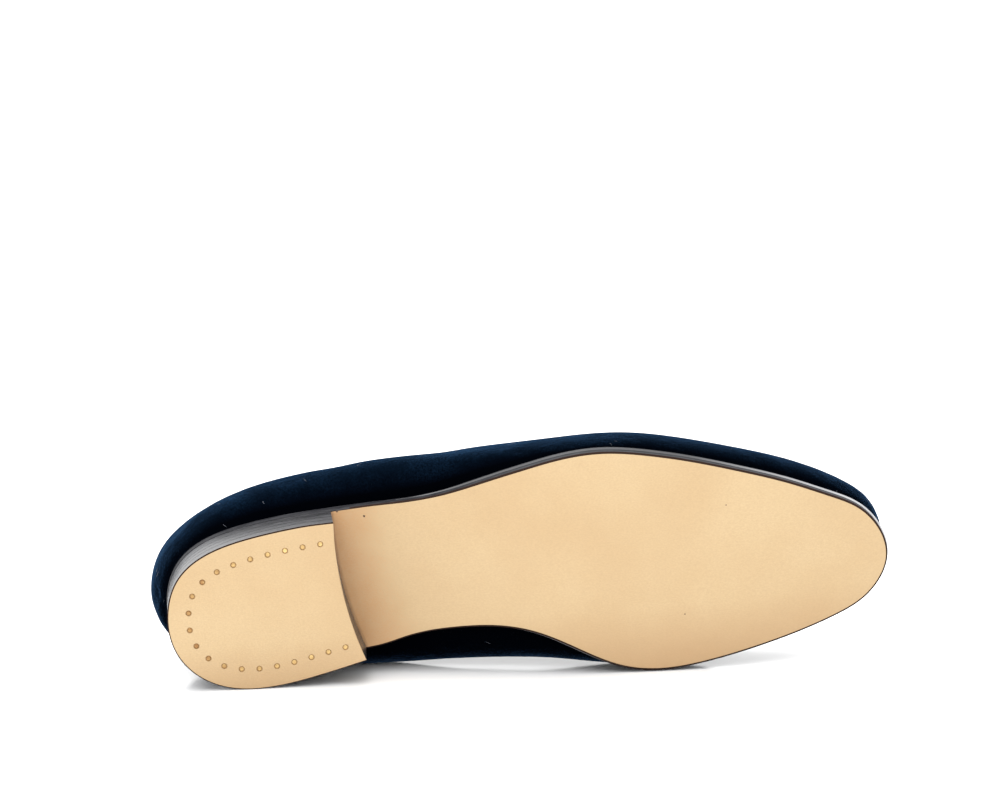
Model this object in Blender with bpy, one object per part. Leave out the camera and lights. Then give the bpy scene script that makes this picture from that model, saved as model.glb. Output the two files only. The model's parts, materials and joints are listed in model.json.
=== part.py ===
"""Velvet slipper loafer, right shoe, lying on its inner side with the sole towards -Y.

The pieces are shaped in the shoe's own upright frame, in millimetres: x runs from the back of the
heel to the toe, y towards the inner side of the foot and z up from the standing plane. A parent
empty then lays the whole shoe down on the three places that it rests on.
"""

import math

import bmesh
import bpy
import numpy as np
from mathutils import Matrix, Vector
from mathutils.geometry import intersect_point_tri

# Driving dimensions, in millimetres
MM = 0.001
LENGTH = 267.4
GAP = 0.3
SOLE_THICKNESS = 4.5
HEEL_AT_BREAST = 17.0
HEEL_AT_BACK = 19.0
BREAST_STATION = 69.0
TREAD_START = 160.0
TREAD_END = 182.0
TOE_SPRING = 9.0
WALL = 2.2
INSOLE_THICKNESS = 2.0
LASTING_MARGIN = 8.0

# Sole outline: distance from the back of the heel, then the edge on the outer and the inner side
SOLE_OUTLINE = [
    # station, outer, inner
    (0.0, 4.0, 4.0),
    (2.5, -8.3, 15.5),
    (10.0, -17.4, 24.6),
    (22.0, -23.0, 30.0),
    (36.0, -26.0, 30.7),
    (52.0, -27.9, 28.3),
    (70.0, -29.0, 24.9),
    (76.0, -29.4, 24.2),
    (88.0, -30.1, 20.9),
    (105.0, -32.7, 18.3),
    (120.0, -37.0, 18.1),
    (134.0, -41.0, 21.0),
    (148.0, -44.3, 27.7),
    (162.0, -45.2, 35.0),
    (177.0, -43.2, 38.5),
    (193.0, -39.5, 37.8),
    (211.0, -34.0, 34.8),
    (229.0, -27.6, 30.8),
    (245.0, -20.5, 26.2),
    (257.0, -14.0, 21.0),
    (264.5, -5.4, 13.6),
    (267.4, 4.6, 4.6),
]

# Last at its widest: its plan outline, and how high above the upper's foot it is widest
WIDEST_OUTLINE = [
    # station, outer, inner, height
    (-6.2, 3.0, 3.0, 17.0),
    (-3.2, -9.3, 14.0, 17.0),
    (5.5, -19.3, 23.8, 17.0),
    (20.0, -29.2, 30.6, 17.0),
    (36.0, -34.7, 33.0, 17.0),
    (52.0, -37.7, 34.8, 17.0),
    (70.0, -40.2, 36.1, 16.0),
    (88.0, -42.2, 35.9, 14.0),
    (106.0, -43.4, 35.0, 13.0),
    (124.0, -44.9, 34.9, 13.0),
    (141.0, -46.5, 35.8, 13.0),
    (158.0, -47.6, 38.2, 13.0),
    (176.0, -46.8, 39.7, 13.0),
    (193.0, -43.5, 38.8, 12.5),
    (211.0, -38.6, 35.8, 12.5),
    (229.0, -32.9, 31.4, 12.5),
    (245.0, -26.0, 26.4, 12.5),
    (257.0, -19.2, 20.6, 12.5),
    (264.6, -11.8, 14.4, 12.5),
    (268.5, 2.8, 2.8, 12.5),
]

# Crest of the last over the vamp and, above the opening, the line that its cone would follow
CREST = [
    # station, crest height above the standing plane, crest y, roundness of the section
    (85.0, 94.0, 0.0, 1.9),
    (110.0, 86.0, 0.0, 1.9),
    (122.0, 81.0, 0.3, 1.95),
    (135.0, 74.5, 0.5, 1.95),
    (152.0, 65.5, 1.5, 2.0),
    (175.0, 55.0, 2.0, 2.15),
    (200.0, 46.5, 3.0, 2.4),
    (225.0, 40.5, 4.0, 2.5),
    (250.0, 37.0, 4.2, 2.5),
    (270.0, 35.0, 4.2, 2.5),
]
TOE_FRONT_START = 228.0
TOE_FRONT_ROUNDNESS = 2.4

# Topline: the station on the sole that each point stands over, then its own place and height
TOPLINE = [
    # sole station, x, outer y, inner y, height
    (0.0, 1.5, 5.2, 5.2, 78.5),
    (4.0, 4.0, -6.5, 16.5, 78.0),
    (14.0, 13.0, -14.5, 23.0, 75.5),
    (32.0, 31.0, -20.5, 27.0, 69.5),
    (60.0, 57.0, -25.0, 27.5, 64.5),
    (90.0, 82.0, -26.5, 25.5, 64.5),
    (115.0, 98.5, -25.0, 22.5, 69.5),
    (140.0, 110.5, -21.0, 19.0, 74.0),
    (170.0, 118.5, -15.5, 14.5, 78.0),
    (210.0, 122.6, -9.0, 9.5, 80.0),
    (250.0, 124.0, -2.8, 4.8, 81.0),
    (267.4, 124.2, 1.2, 1.2, 81.0),
]
VAMP_STARTS = 100.0
VAMP_FULL = 150.0
WALL_LEAN_POWER = 1.9

# Sole edge: distance out from the sole outline, and height above the walking face
SOLE_EDGE = [
    # out at the forepart, out at the waist and heel, height
    (0.0, 0.0, 0.0),
    (0.5, 0.35, 0.45),
    (0.7, 0.4, 3.1),
    (1.3, 0.45, 3.35),
    (1.3, 0.45, 4.1),
    (1.0, 0.2, 4.5),
]
FOREPART_EDGE_STARTS = 80.0
FOREPART_EDGE_FULL = 130.0
FEATHER_INSET_FOREPART = 2.0
FEATHER_INSET_HEEL = 0.9

# Heel: top piece, lifts and pins
TOP_PIECE_THICKNESS = 5.0
LIFT_COUNT = 3
LIFT_THICKNESS = 3.8
HEEL_EDGE_BEVEL = 0.45
HEEL_OUT_AT_FLOOR = 0.5
HEEL_OUT_AT_SEAT = 0.25
BREAST_HALF_WIDTH = 26.5
BREAST_CORNER = 1.5
BREAST_DEPTH = 2.5
BREAST_SLANT = 1.0
BREAST_POINTS = 8
HEEL_BACK_Y = 8.0
HEEL_TURN = math.radians(8.6)
HEEL_TO_BREAST = 67.3
PIN_COUNT = 21
PIN_INSET = 7.2
PIN_LINE_START = 61.0
PIN_RADIUS = 0.85
PIN_LENGTH = 3.4
PIN_SIDES = 12
PIN_SET_BACK = 0.05
PIN_CROWN = 0.25
CUTTER_OVERSHOOT = 1.0

# Mesh fineness
STATION_COUNT = 44
RING_COUNT = 15
PATH_STEPS = 90
RING_CROWDING = 1.25
VAMP_RING_CROWDING = 0.3
SLIVER = 0.01
SHARP_ANGLE = math.radians(35.0)
UPPER_SHARP_ANGLE = math.radians(60.0)
SOLE_SHARP_ANGLE = math.radians(25.0)
PIN_SHARP_ANGLE = math.radians(50.0)

# Kilograms per cubic metre, used only to find how the shoe comes to rest
LEATHER_DENSITY = 950.0
VELVET_WALL_DENSITY = 600.0

# Least share of a face's normal along y for the shoe to lie on that face with its inner side down
INNER_SIDE_FACING = 0.9


def material(name, colour, roughness, metallic=0.0):
    """Principled material of one part."""
    made = bpy.data.materials.new(name)
    made.use_nodes = True
    shader = made.node_tree.nodes["Principled BSDF"]
    shader.inputs["Base Color"].default_value = (*colour, 1.0)
    shader.inputs["Roughness"].default_value = roughness
    shader.inputs["Metallic"].default_value = metallic
    made.diffuse_color = (*colour, 1.0)
    return made


def smooth_step(value, start, end):
    """0 before start, 1 after end, and a smooth rise between."""
    share = np.clip((value - start) / (end - start), 0.0, 1.0)
    return share * share * (3.0 - 2.0 * share)


LOOP_ANGLES = np.arange(2 * STATION_COUNT) * math.pi / STATION_COUNT
LOOP_STATIONS = 0.5 * LENGTH * (1.0 - np.cos(LOOP_ANGLES))


def periodic_curve(angles, values, at):
    """Values at the given angles, on the smooth closed curve through the knots."""
    count = len(angles)
    steps = np.diff(np.append(angles, angles[0] + 2.0 * math.pi))
    rises = np.roll(values, -1) - values
    system = np.zeros((count, count))
    right = np.zeros(count)
    for i in range(count):
        before = steps[i - 1]
        after = steps[i]
        system[i, i - 1] += before
        system[i, i] += 2.0 * (before + after)
        system[i, (i + 1) % count] += after
        right[i] = 6.0 * (rises[i] / after - rises[i - 1] / before)
    bends = np.linalg.solve(system, right)
    found = np.empty(len(at))
    for j, angle in enumerate(at):
        i = int(np.searchsorted(angles, angle % (2.0 * math.pi), side="right")) - 1
        step = steps[i]
        b = (angle % (2.0 * math.pi) - angles[i]) / step
        a = 1.0 - b
        n = (i + 1) % count
        line = a * values[i] + b * values[n]
        found[j] = line + ((a**3 - a) * bends[i] + (b**3 - b) * bends[n]) * step**2 / 6.0
    return found


def round_the_shoe(rows, outer_column, inner_column):
    """One value for each point of a loop, from a table of stations with an outer and an inner column."""
    first = rows[0][0]
    length = rows[-1][0] - first
    angles = [math.acos(1.0 - 2.0 * (row[0] - first) / length) for row in rows]
    outer = [row[outer_column] for row in rows]
    inner = [row[inner_column] for row in rows]
    all_angles = np.array(angles + [2.0 * math.pi - a for a in angles[-2:0:-1]])
    all_values = np.array(outer + inner[-2:0:-1], float)
    return periodic_curve(all_angles, all_values, LOOP_ANGLES)


def plan_outline(rows):
    """Plan loop through a table of stations with the outer and the inner edge."""
    first = rows[0][0]
    stations = first + (rows[-1][0] - first) * LOOP_STATIONS / LENGTH
    return np.stack([stations, round_the_shoe(rows, 1, 2)], axis=1)


def open_curve(rows, column, at):
    """Values at the given stations on a smooth curve through one column of a table."""
    x = np.array([row[0] for row in rows])
    y = np.array([row[column] for row in rows])
    slope = np.gradient(y, x)
    i = np.clip(np.searchsorted(x, at, side="right") - 1, 0, len(x) - 2)
    step = x[i + 1] - x[i]
    t = np.clip((at - x[i]) / step, 0.0, 1.0)
    start = (1 + 2 * t) * (1 - t) ** 2 * y[i] + t * (1 - t) ** 2 * step * slope[i]
    end = t * t * (3 - 2 * t) * y[i + 1] - t * t * (1 - t) * step * slope[i + 1]
    return start + end


def walking_face(x):
    """Height of the outsole's walking face: heel seat, waist, flat tread and toe spring."""
    x = np.asarray(x, float)
    seat_slope = (HEEL_AT_BREAST - HEEL_AT_BACK) / BREAST_STATION
    seat = HEEL_AT_BACK + seat_slope * x
    span = TREAD_START - BREAST_STATION
    t = np.clip((x - BREAST_STATION) / span, 0.0, 1.0)
    waist = HEEL_AT_BREAST * (1 + 2 * t) * (1 - t) ** 2 + seat_slope * span * t * (1 - t) ** 2
    spring = TOE_SPRING * (np.clip(x - TREAD_END, 0.0, None) / (LENGTH - TREAD_END)) ** 2
    return np.where(x < BREAST_STATION, seat, waist) + spring


def offset_loop(loop, distance):
    """Plan loop moved outward by a distance, which may differ from point to point."""
    along = np.roll(loop, -1, axis=0) - np.roll(loop, 1, axis=0)
    along /= np.linalg.norm(along, axis=1)[:, None]
    outward = np.stack([-along[:, 1], along[:, 0]], axis=1)
    outward *= -1.0 if signed_area(loop) > 0.0 else 1.0
    return loop + outward * np.broadcast_to(distance, len(loop))[:, None]


def signed_area(loop):
    """Area of a plan loop, positive when it runs anticlockwise."""
    x, y = loop.T
    return 0.5 * float(np.sum(x * np.roll(y, -1) - np.roll(x, -1) * y))


SOLE_LOOP = plan_outline(SOLE_OUTLINE)
FOREPART = smooth_step(LOOP_STATIONS, FOREPART_EDGE_STARTS, FOREPART_EDGE_FULL)


def raised(plan, lift):
    """Plan loop lifted by a height above the walking face."""
    return np.column_stack([plan, walking_face(plan[:, 0]) + lift])


def bridge(mesh, low, high):
    """Faces between two rings of vertices, pointing out when the rings run clockwise seen from above."""
    count = len(low)
    for i in range(count):
        n = (i + 1) % count
        mesh.faces.new((low[n], low[i], high[i], high[n]))


def ladder(mesh, ring, upward):
    """Cap of rungs between the outer and the inner side of a ring."""
    count = len(ring)
    for i in range(count // 2):
        corners = [ring[i], ring[i + 1], ring[(count - i - 1) % count], ring[(count - i) % count]]
        corners = list(dict.fromkeys(corners))
        mesh.faces.new(corners[::-1] if upward else corners)


def add_ring(mesh, loop):
    return [mesh.verts.new(Vector(point) * MM) for point in loop]


def finish_object(name, mesh, finish, holder, sharp_angle=SHARP_ANGLE):
    """Turns a bmesh into a named object of the shoe, smooth except at its real edges."""
    bmesh.ops.recalc_face_normals(mesh, faces=mesh.faces)
    data = bpy.data.meshes.new(name)
    mesh.to_mesh(data)
    mesh.free()
    data.shade_smooth()
    data.set_sharp_from_angle(angle=sharp_angle)
    data.materials.append(finish)
    made = bpy.data.objects.new(name, data)
    made.parent = holder
    bpy.context.scene.collection.objects.link(made)
    return made


def stacked(name, rings, finish, holder, sharp_angle=SHARP_ANGLE):
    """Closed solid through rings from the bottom up, with a ladder cap at each end."""
    mesh = bmesh.new()
    verts = [add_ring(mesh, ring) for ring in rings]
    for low, high in zip(verts, verts[1:]):
        bridge(mesh, low, high)
    ladder(mesh, verts[0], upward=False)
    ladder(mesh, verts[-1], upward=True)
    return finish_object(name, mesh, finish, holder, sharp_angle)


# Upper
def feather_loop():
    """Plan of the line where the upper turns in over the sole."""
    inset = FEATHER_INSET_HEEL + (FEATHER_INSET_FOREPART - FEATHER_INSET_HEEL) * FOREPART
    return offset_loop(SOLE_LOOP, -inset)


FEATHER = feather_loop()
WIDEST = plan_outline(WIDEST_OUTLINE)
WIDEST_LIFT = round_the_shoe(WIDEST_OUTLINE, 3, 3)
FOOT_HEIGHT = walking_face(FEATHER[:, 0]) + SOLE_THICKNESS + GAP
WIDEST_HEIGHT = FOOT_HEIGHT + WIDEST_LIFT


def vamp_height(x, y):
    """Height of the last's top over a plan point: a rounded section at each station."""
    half = STATION_COUNT + 1
    outer_x = WIDEST[:half, 0]
    inner_x = np.append(WIDEST[STATION_COUNT:, 0], WIDEST[0, 0])[::-1]
    inner_y = np.append(WIDEST[STATION_COUNT:, 1], WIDEST[0, 1])[::-1]
    outer_edge = np.interp(x, outer_x, WIDEST[:half, 1])
    inner_edge = np.interp(x, inner_x, inner_y)
    base = np.interp(x, outer_x, WIDEST_HEIGHT[:half])
    crest = open_curve(CREST, 1, x)
    middle = np.clip(open_curve(CREST, 2, x), outer_edge + SLIVER, inner_edge - SLIVER)
    power = open_curve(CREST, 3, x)
    reach = np.where(y < middle, middle - outer_edge, inner_edge - middle)
    share = np.clip(np.abs(y - middle) / reach, 0.0, 1.0)
    roof = (1.0 - share**power) ** (1.0 / power)
    toe_tip = WIDEST[STATION_COUNT, 0]
    ahead = np.clip((x - TOE_FRONT_START) / (toe_tip - TOE_FRONT_START), 0.0, 1.0)
    front = (1.0 - ahead**TOE_FRONT_ROUNDNESS) ** (1.0 / TOE_FRONT_ROUNDNESS)
    return base + (crest - base) * roof * front


def wall_rings():
    """Rings of the upper's outer face, from the feather line to the topline."""
    vamp_share = smooth_step(LOOP_STATIONS, VAMP_STARTS, VAMP_FULL)
    top_x = round_the_shoe(TOPLINE, 1, 1)
    top_y = round_the_shoe(TOPLINE, 2, 3)
    quarter_top = round_the_shoe(TOPLINE, 4, 4)
    top = np.stack([top_x, top_y], axis=1)
    top_height = quarter_top + (vamp_height(top_x, top_y) - quarter_top) * vamp_share
    paths = []
    for turn in np.linspace(0.0, 0.5 * math.pi, PATH_STEPS // 3, endpoint=False):
        plan = FEATHER + (WIDEST - FEATHER) * math.sin(turn)
        paths.append(np.column_stack([plan, FOOT_HEIGHT + WIDEST_LIFT * (1.0 - math.cos(turn))]))
    for t in np.linspace(0.0, 1.0, PATH_STEPS):
        side_plan = WIDEST + (top - WIDEST) * t**WALL_LEAN_POWER
        side_height = WIDEST_HEIGHT + (top_height - WIDEST_HEIGHT) * t
        over = 1.0 - math.cos(0.5 * math.pi * t)
        over_plan = WIDEST + (top - WIDEST) * over
        over_height = vamp_height(over_plan[:, 0], over_plan[:, 1])
        side = np.column_stack([side_plan, side_height])
        across = np.column_stack([over_plan, over_height])
        paths.append(side + (across - side) * vamp_share[:, None])
    paths = np.array(paths)
    lengths = np.linalg.norm(np.diff(paths, axis=0), axis=2)
    walked = np.vstack([np.zeros(len(FEATHER)), np.cumsum(lengths, axis=0)])
    rings = []
    for share in np.linspace(0.0, 1.0, RING_COUNT + 1):
        ring = np.empty((len(FEATHER), 3))
        for k in range(len(FEATHER)):
            target = walked[-1, k] * share ** (RING_CROWDING + VAMP_RING_CROWDING * vamp_share[k])
            for axis in range(3):
                ring[k, axis] = np.interp(target, walked[:, k], paths[:, k, axis])
        rings.append(ring)
    return rings


def build_upper(finish, holder):
    """Lasted upper: one wall from the turned-in margin under the foot to the topline."""
    margin = raised(offset_loop(FEATHER, -LASTING_MARGIN), SOLE_THICKNESS + GAP)
    rings = [margin] + wall_rings()
    mesh = bmesh.new()
    verts = [add_ring(mesh, ring) for ring in rings]
    for low, high in zip(verts, verts[1:]):
        bridge(mesh, low, high)
    made = finish_object("upper", mesh, finish, holder, UPPER_SHARP_ANGLE)
    wall = made.modifiers.new("wall", "SOLIDIFY")
    wall.thickness = WALL * MM
    wall.offset = -1.0
    wall.use_even_offset = True
    return made, np.concatenate(rings)


# Sole
def build_outsole(finish, holder):
    """Outsole with its bevelled walking edge and the rim that stands out round the forepart."""
    rings = []
    for forepart_out, waist_out, height in SOLE_EDGE:
        out = waist_out + (forepart_out - waist_out) * FOREPART
        rings.append(raised(offset_loop(SOLE_LOOP, out), height))
    sole = stacked("outsole", rings, finish, holder, SOLE_SHARP_ANGLE)
    return sole, np.concatenate(rings)


def build_insole(finish, holder):
    """Insole inside the upper, on its turned-in margin."""
    plan = offset_loop(FEATHER, -(WALL + GAP))
    low = SOLE_THICKNESS + GAP + WALL + GAP
    rings = [raised(plan, low), raised(plan, low + INSOLE_THICKNESS)]
    return stacked("insole", rings, finish, holder)


# Heel
def heel_point(along, across):
    """Plan point from the distance along the heel's own axis and the distance to its inner side."""
    x = along * math.cos(HEEL_TURN) + across * math.sin(HEEL_TURN)
    y = HEEL_BACK_Y - along * math.sin(HEEL_TURN) + across * math.cos(HEEL_TURN)
    return x, y


def heel_loop(out, rise):
    """D-shaped plan loop: round the back outside the sole outline, and the hollow breast across the front.

    The inner end of the breast moves forward with the rise, from 0 at the floor to 1 at the seat.
    """
    around = offset_loop(SOLE_LOOP, out)
    half_width = BREAST_HALF_WIDTH + out
    outer_end = heel_point(HEEL_TO_BREAST, -half_width)[0] - BREAST_CORNER
    inner_end = heel_point(HEEL_TO_BREAST, half_width)[0] - BREAST_CORNER
    outer = [point for point in around[: STATION_COUNT + 1] if point[0] < outer_end]
    inner = [point for point in around[STATION_COUNT + 1 :] if point[0] < inner_end]
    breast = []
    for side in np.linspace(-1.0, 1.0, BREAST_POINTS + 1):
        forward = 0.5 * BREAST_SLANT * rise * (1.0 + side) - BREAST_DEPTH * (1.0 - side**2)
        breast.append(heel_point(HEEL_TO_BREAST + forward, side * half_width))
    return np.array(outer + breast + inner)


def heel_ring(height, bevel=0.0):
    """Level ring of the heel, which draws in a little from its walking face up to its seat."""
    rise = height / HEEL_AT_BREAST
    out = HEEL_OUT_AT_FLOOR + (HEEL_OUT_AT_SEAT - HEEL_OUT_AT_FLOOR) * rise
    plan = heel_loop(out - bevel, rise)
    return np.column_stack([plan, np.full(len(plan), height)])


def seat_ring():
    """Top of the heel, a little under the outsole."""
    plan = heel_loop(HEEL_OUT_AT_SEAT, 1.0)
    return np.column_stack([plan, walking_face(plan[:, 0]) - GAP])


def heel_solid(name, rings, finish, holder):
    """Closed heel layer with one flat face at each end."""
    mesh = bmesh.new()
    verts = [add_ring(mesh, ring) for ring in rings]
    for low, high in zip(verts, verts[1:]):
        bridge(mesh, low, high)
    mesh.faces.new(verts[0])
    mesh.faces.new(verts[-1][::-1])
    return finish_object(name, mesh, finish, holder)


def pin_places():
    """Evenly spaced places of the pins, on a line inside the heel's edge."""
    line = offset_loop(SOLE_LOOP, -PIN_INSET)
    around = np.concatenate([line[STATION_COUNT + 1 :], line[: STATION_COUNT + 1]])
    along = around[:, 0] * math.cos(HEEL_TURN) - (around[:, 1] - HEEL_BACK_Y) * math.sin(HEEL_TURN)
    fine = np.linspace(0, len(around) - 1, PATH_STEPS * len(around))
    path = np.stack([np.interp(fine, np.arange(len(around)), around[:, i]) for i in (0, 1)], axis=1)
    along = np.interp(fine, np.arange(len(around)), along)
    path = path[along < PIN_LINE_START]
    walked = np.append(0.0, np.cumsum(np.linalg.norm(np.diff(path, axis=0), axis=1)))
    wanted = np.linspace(0.0, walked[-1], PIN_COUNT)
    return [tuple(np.interp(w, walked, path[:, i]) for i in (0, 1)) for w in wanted]


def pin_mesh(name, radius, low, high, crown):
    """Short round rod, with its walking end crowned where it shows."""
    mesh = bmesh.new()
    bmesh.ops.create_cone(
        mesh,
        cap_ends=True,
        segments=PIN_SIDES,
        radius1=radius * MM,
        radius2=radius * MM,
        depth=(high - low) * MM,
        matrix=Matrix.Translation((0.0, 0.0, 0.5 * (low + high) * MM)),
    )
    if crown:
        foot = [e for e in mesh.edges if max(v.co.z for v in e.verts) < (low + crown) * MM]
        bmesh.ops.bevel(
            mesh,
            geom=foot,
            offset=crown * MM,
            offset_type="OFFSET",
            segments=1,
            profile=0.5,
            affect="EDGES",
            material=-1,
        )
    data = bpy.data.meshes.new(name)
    mesh.to_mesh(data)
    mesh.free()
    data.shade_smooth()
    data.set_sharp_from_angle(angle=PIN_SHARP_ANGLE)
    return data


def pin_cutter(places, holder):
    """Hidden cutter: one rod for each pin hole in the top piece."""
    mesh = bmesh.new()
    depth = PIN_LENGTH + PIN_SET_BACK + GAP
    for x, y in places:
        bmesh.ops.create_cone(
            mesh,
            cap_ends=True,
            segments=PIN_SIDES,
            radius1=(PIN_RADIUS + GAP) * MM,
            radius2=(PIN_RADIUS + GAP) * MM,
            depth=(depth + CUTTER_OVERSHOOT) * MM,
            matrix=Matrix.Translation(Vector((x, y, 0.5 * (depth - CUTTER_OVERSHOOT))) * MM),
        )
    data = bpy.data.meshes.new("pin_holes")
    mesh.to_mesh(data)
    mesh.free()
    cutter = bpy.data.objects.new("pin_holes", data)
    cutter.hide_render = True
    cutter.display_type = "WIRE"
    cutter.parent = holder
    bpy.context.scene.collection.objects.link(cutter)
    return cutter


def build_heel(leather, edge, brass, holder):
    """Top piece with its pins, then the lifts up to the seat."""
    rings = [heel_ring(0.0, HEEL_EDGE_BEVEL), heel_ring(HEEL_EDGE_BEVEL), heel_ring(TOP_PIECE_THICKNESS)]
    top_piece = heel_solid("heel_top_piece", rings, leather, holder)
    places = pin_places()
    holes = top_piece.modifiers.new("pin holes", "BOOLEAN")
    holes.operation = "DIFFERENCE"
    holes.object = pin_cutter(places, holder)
    lifts = []
    low = TOP_PIECE_THICKNESS + GAP
    for number in range(1, LIFT_COUNT + 1):
        if number < LIFT_COUNT:
            upper_ring = heel_ring(low + LIFT_THICKNESS)
        else:
            upper_ring = seat_ring()
        lifts.append(heel_solid(f"heel_lift_{number}", [heel_ring(low), upper_ring], edge, holder))
        low += LIFT_THICKNESS + GAP
    pin = pin_mesh("heel_pin", PIN_RADIUS, PIN_SET_BACK, PIN_SET_BACK + PIN_LENGTH, PIN_CROWN)
    pin.materials.append(brass)
    for number, (x, y) in enumerate(places, start=1):
        made = bpy.data.objects.new(f"heel_pin_{number:02d}", pin)
        made.location = (x * MM, y * MM, 0.0)
        made.parent = holder
        bpy.context.scene.collection.objects.link(made)
    return [top_piece] + lifts, np.concatenate(rings)


# Resting pose
def mass_and_centre(piece, density):
    """Mass in kilograms and centre of mass in metres of one closed piece, in the shoe's frame."""
    evaluated = piece.evaluated_get(bpy.context.evaluated_depsgraph_get())
    data = evaluated.to_mesh()
    data.calc_loop_triangles()
    volume = 0.0
    moment = Vector()
    for triangle in data.loop_triangles:
        a, b, c = (data.vertices[i].co for i in triangle.vertices)
        part = a.dot(b.cross(c)) / 6.0
        volume += part
        moment += part * (a + b + c) / 4.0
    evaluated.to_mesh_clear()
    return volume * density, moment / volume


def centre_of_mass(pieces):
    """Centre of mass of (piece, density) pairs."""
    found = [mass_and_centre(piece, density) for piece, density in pieces]
    total = sum(mass for mass, _ in found)
    return sum((mass * centre for mass, centre in found), Vector()) / total


def resting_pose(points, centre):
    """Matrix that lays the shoe on its inner side, sole towards -Y, centred over the origin."""
    hull = bmesh.new()
    for point in points:
        hull.verts.new(Vector(point) * MM)
    bmesh.ops.convex_hull(hull, input=hull.verts, use_existing_faces=False)
    down = None
    for face in hull.faces:
        if face.normal.y < INNER_SIDE_FACING or len(face.verts) != 3:
            continue
        corners = [v.co for v in face.verts]
        foot = centre + face.normal * (corners[0] - centre).dot(face.normal)
        if intersect_point_tri(foot, *corners):
            down = face.normal.copy()
    hull.free()
    laid = down.rotation_difference(Vector((0.0, 0.0, -1.0))).to_matrix()
    toe = laid @ Vector((1.0, 0.0, 0.0))
    laid = Matrix.Rotation(-math.atan2(toe.y, toe.x), 3, "Z") @ laid
    placed = np.array([laid @ (Vector(p) * MM) for p in points])
    low = placed.min(axis=0)
    high = placed.max(axis=0)
    shift = Vector((-0.5 * (low[0] + high[0]), -0.5 * (low[1] + high[1]), -low[2]))
    return Matrix.Translation(shift) @ laid.to_4x4()


def main():
    for old in list(bpy.data.objects):
        bpy.data.objects.remove(old, do_unlink=True)
    velvet = material("velvet", (0.010, 0.022, 0.062), 0.85)
    sole_leather = material("sole leather", (0.80, 0.58, 0.36), 0.55)
    lining_leather = material("insole leather", (0.45, 0.28, 0.16), 0.60)
    heel_edge = material("painted heel edge", (0.06, 0.06, 0.065), 0.35)
    brass = material("brass", (0.75, 0.55, 0.25), 0.30, 1.0)
    shoe = bpy.data.objects.new("shoe", None)
    bpy.context.scene.collection.objects.link(shoe)
    upper, upper_points = build_upper(velvet, shoe)
    outsole, sole_points = build_outsole(sole_leather, shoe)
    insole = build_insole(lining_leather, shoe)
    heel, heel_points = build_heel(sole_leather, heel_edge, brass, shoe)
    bpy.context.view_layer.update()
    leather = [(piece, LEATHER_DENSITY) for piece in (outsole, insole, *heel)]
    centre = centre_of_mass([(upper, VELVET_WALL_DENSITY), *leather])
    shoe.matrix_world = resting_pose(np.concatenate([upper_points, sole_points, heel_points]), centre)


main()
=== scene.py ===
# %% [markdown]
# # A velvet slipper lying on its side
#
# This lesson dresses the solids of one right shoe: a velvet slipper with a leather sole, a stacked
# heel and a ring of brass pins. The solids give every size and place. What is added here is what the
# eye reads as material: pile, grain, paint, polish and the small marks of hand work.
#
# Run the cells from top to bottom. Each one says first what the real thing is and how else it could
# have been made.

# %% Load the solids
import json
import math

import bmesh
import bpy
import numpy as np
from mathutils import Matrix, Vector
from mathutils.bvhtree import BVHTree


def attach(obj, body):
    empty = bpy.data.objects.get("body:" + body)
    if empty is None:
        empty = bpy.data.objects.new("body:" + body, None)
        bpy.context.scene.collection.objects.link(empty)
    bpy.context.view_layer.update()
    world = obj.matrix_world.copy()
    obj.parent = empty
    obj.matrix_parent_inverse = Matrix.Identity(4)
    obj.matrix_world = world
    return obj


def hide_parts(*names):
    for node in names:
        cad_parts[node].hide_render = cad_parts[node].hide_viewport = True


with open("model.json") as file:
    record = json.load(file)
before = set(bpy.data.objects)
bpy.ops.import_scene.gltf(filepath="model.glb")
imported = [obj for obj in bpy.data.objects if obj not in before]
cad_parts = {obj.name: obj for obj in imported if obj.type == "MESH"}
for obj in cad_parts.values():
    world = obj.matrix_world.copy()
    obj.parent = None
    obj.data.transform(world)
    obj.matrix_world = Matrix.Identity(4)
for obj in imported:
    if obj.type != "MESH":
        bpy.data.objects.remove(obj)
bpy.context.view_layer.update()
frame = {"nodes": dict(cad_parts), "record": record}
MM = 0.001

# %% [markdown]
# ## The shoe's own axes
#
# The shoe lies down, so the floor's axes are of little use when a seam has to go "12 mm above the
# feather line". The record names two flat faces, under the heel and under the ball of the foot. Both
# lie on the plane that the shoe would stand on, and their places are known in the shoe's own plan:
# x from the back of the heel to the toe, y towards the inner side. That is enough to work out a
# matrix from the shoe's upright frame to the room. Measuring it from the mesh would work as well, but
# would change with every small edit of the mesh.

# %% Work out the shoe's axes
HEEL_FACE_PLAN = Vector((38.0, 2.5))
FOREFOOT_FACE_PLAN = Vector((167.0, -2.0))

mounts = {mount["name"]: mount for mount in frame["record"]["mounts"]}
heel_face = Vector(mounts["heel_face"]["pos_m"])
forefoot_face = Vector(mounts["forefoot_face"]["pos_m"])
SHOE_UP = -Vector(mounts["heel_face"]["axis"]).normalized()
plan_step = FOREFOOT_FACE_PLAN - HEEL_FACE_PLAN
SHOE_TOE = Matrix.Rotation(-math.atan2(plan_step.y, plan_step.x), 3, SHOE_UP) @ (
    forefoot_face - heel_face
).normalized()
SHOE_INNER = SHOE_UP.cross(SHOE_TOE).normalized()
SHOE_TOE = SHOE_INNER.cross(SHOE_UP)
SHOE_ORIGIN = heel_face - (SHOE_TOE * HEEL_FACE_PLAN.x + SHOE_INNER * HEEL_FACE_PLAN.y) * MM
SHOE_AXES = Matrix((SHOE_TOE, SHOE_INNER, SHOE_UP)).transposed()


def room_point(x, y, z):
    """Point in the room, from millimetres in the shoe's upright frame."""
    return SHOE_ORIGIN + SHOE_AXES @ (Vector((x, y, z)) * MM)


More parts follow.
